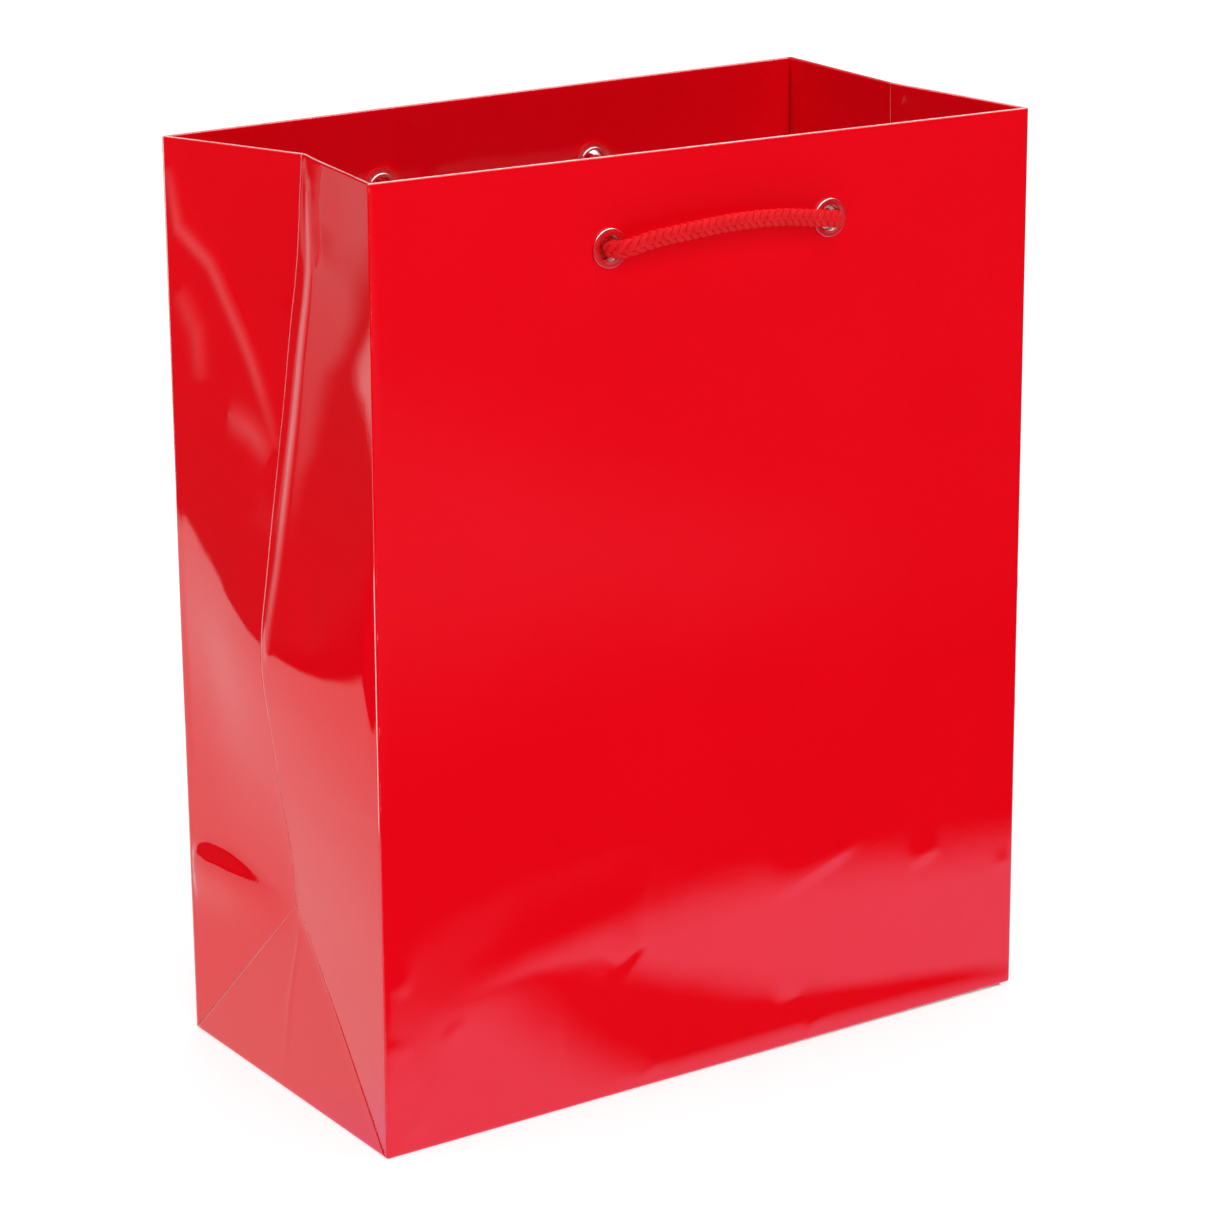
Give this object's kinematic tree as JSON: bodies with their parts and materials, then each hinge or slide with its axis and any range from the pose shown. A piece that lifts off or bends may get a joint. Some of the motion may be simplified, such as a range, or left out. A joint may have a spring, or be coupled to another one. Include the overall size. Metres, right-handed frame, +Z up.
{
  "type": "gift bag",
  "caption": "Upright paper gift bag with folded side gussets, a turned-in rim, a loose base board, round eyelets and two drawn-in braided cord handles.",
  "frame": {"origin": "centre of the base underside, on the surface the bag stands on", "axes": "+Z up to the rim, +X along the front panel to its right, +Y towards the back; the front panel faces -Y"},
  "size_m": [0.206, 0.1242, 0.254],
  "materials": {
    "red_paper": "gloss film laminate",
    "grey_board": "matte grey board",
    "red_metal": "gloss red lacquer",
    "red_cord": "braided satin polyester"
  },
  "bodies": {
    "base": {"base_flap_front": "red_paper", "base_flap_rear": "red_paper", "base_flap_left": "red_paper", "base_flap_right": "red_paper", "base_board": "grey_board"},
    "front_wall": {"front_panel": "red_paper", "front_hem": "red_paper", "front_card": "grey_board", "eyelet_front_left": "red_metal", "eyelet_front_right": "red_metal", "washer_front_left": "red_metal", "washer_front_right": "red_metal"},
    "back_wall": {"back_panel": "red_paper", "back_hem": "red_paper", "back_card": "grey_board", "seam_tab": "red_paper", "eyelet_back_left": "red_metal", "eyelet_back_right": "red_metal", "washer_back_left": "red_metal", "washer_back_right": "red_metal"},
    "gusset_left_front_half": {"gusset_left_front": "red_paper", "gusset_hem_left_front": "red_paper"},
    "gusset_left_rear_half": {"gusset_left_rear": "red_paper", "gusset_hem_left_rear": "red_paper"},
    "foot_left_triangle": {"foot_left": "red_paper"},
    "gusset_right_front_half": {"gusset_right_front": "red_paper", "gusset_hem_right_front": "red_paper"},
    "gusset_right_rear_half": {"gusset_right_rear": "red_paper", "gusset_hem_right_rear": "red_paper"},
    "foot_right_triangle": {"foot_right": "red_paper"},
    "handle_front_span": {"handle_front": "red_cord"},
    "tail_front_left_end": {"tail_front_left": "red_cord", "knot_front_left": "red_cord"},
    "tail_front_right_end": {"tail_front_right": "red_cord", "knot_front_right": "red_cord"},
    "handle_back_span": {"handle_back": "red_cord"},
    "tail_back_left_end": {"tail_back_left": "red_cord", "knot_back_left": "red_cord"},
    "tail_back_right_end": {"tail_back_right": "red_cord", "knot_back_right": "red_cord"}
  },
  "joints": [
    {"name": "front_wall_tilt", "type": "hinge", "parent": "base", "child": "front_wall", "pos_m": [0, -0.0527, 0], "axis": [-1, 0, 0], "range_deg": [0, 8], "stiffness_Nm_per_rad": 0.3},
    {"name": "back_wall_tilt", "type": "hinge", "parent": "base", "child": "back_wall", "pos_m": [0, 0.0527, 0], "axis": [1, 0, 0], "range_deg": [0, 8]},
    {"name": "gusset_left_front_fold", "type": "hinge", "parent": "front_wall", "child": "gusset_left_front_half", "pos_m": [-0.1027, -0.0527, 0], "axis": [0, 0, -1], "range_deg": [0, 58.1]},
    {"name": "gusset_left_rear_fold", "type": "hinge", "parent": "back_wall", "child": "gusset_left_rear_half", "pos_m": [-0.1027, 0.0527, 0], "axis": [0, 0, 1], "range_deg": [0, 58.1]},
    {"name": "foot_left_lean", "type": "hinge", "parent": "base", "child": "foot_left_triangle", "pos_m": [-0.1027, 0, 0], "axis": [0, 1, 0], "range_deg": [0, 26.4]},
    {"name": "gusset_right_front_fold", "type": "hinge", "parent": "front_wall", "child": "gusset_right_front_half", "pos_m": [0.1027, -0.0527, 0], "axis": [0, 0, 1], "range_deg": [0, 66.6]},
    {"name": "gusset_right_rear_fold", "type": "hinge", "parent": "back_wall", "child": "gusset_right_rear_half", "pos_m": [0.1027, 0.0527, 0], "axis": [0, 0, -1], "range_deg": [0, 66.6]},
    {"name": "foot_right_lean", "type": "hinge", "parent": "base", "child": "foot_right_triangle", "pos_m": [0.1027, 0, 0], "axis": [0, -1, 0], "range_deg": [0, 26.4]},
    {"name": "handle_front_swing", "type": "hinge", "parent": "front_wall", "child": "handle_front_span", "pos_m": [0.0015, -0.0522, 0.2312], "axis": [-1, 0, 0], "range_deg": [-20, 20]},
    {"name": "tail_front_left_sway", "type": "hinge", "parent": "front_wall", "child": "tail_front_left_end", "pos_m": [-0.0331, -0.0522, 0.2312], "axis": [1, 0, 0], "range_deg": [0, 8]},
    {"name": "tail_front_right_sway", "type": "hinge", "parent": "front_wall", "child": "tail_front_right_end", "pos_m": [0.0361, -0.0522, 0.2312], "axis": [1, 0, 0], "range_deg": [0, 8]},
    {"name": "handle_back_swing", "type": "hinge", "parent": "back_wall", "child": "handle_back_span", "pos_m": [-0.0025, 0.0522, 0.2312], "axis": [1, 0, 0], "range_deg": [-20, 20]},
    {"name": "tail_back_left_sway", "type": "hinge", "parent": "back_wall", "child": "tail_back_left_end", "pos_m": [-0.0371, 0.0522, 0.2312], "axis": [-1, 0, 0], "range_deg": [0, 8]},
    {"name": "tail_back_right_sway", "type": "hinge", "parent": "back_wall", "child": "tail_back_right_end", "pos_m": [0.0321, 0.0522, 0.2312], "axis": [-1, 0, 0], "range_deg": [0, 8]}
  ],
  "couplings": [
    {"joint": "back_wall_tilt", "follows": "front_wall_tilt", "ratio": 1},
    {"joint": "gusset_left_front_fold", "follows": "front_wall_tilt", "ratio": 7.24},
    {"joint": "gusset_left_rear_fold", "follows": "front_wall_tilt", "ratio": 7.24},
    {"joint": "foot_left_lean", "follows": "front_wall_tilt", "ratio": 3.28},
    {"joint": "gusset_right_front_fold", "follows": "front_wall_tilt", "ratio": 8.3},
    {"joint": "gusset_right_rear_fold", "follows": "front_wall_tilt", "ratio": 8.3},
    {"joint": "foot_right_lean", "follows": "front_wall_tilt", "ratio": 3.28}
  ]
}
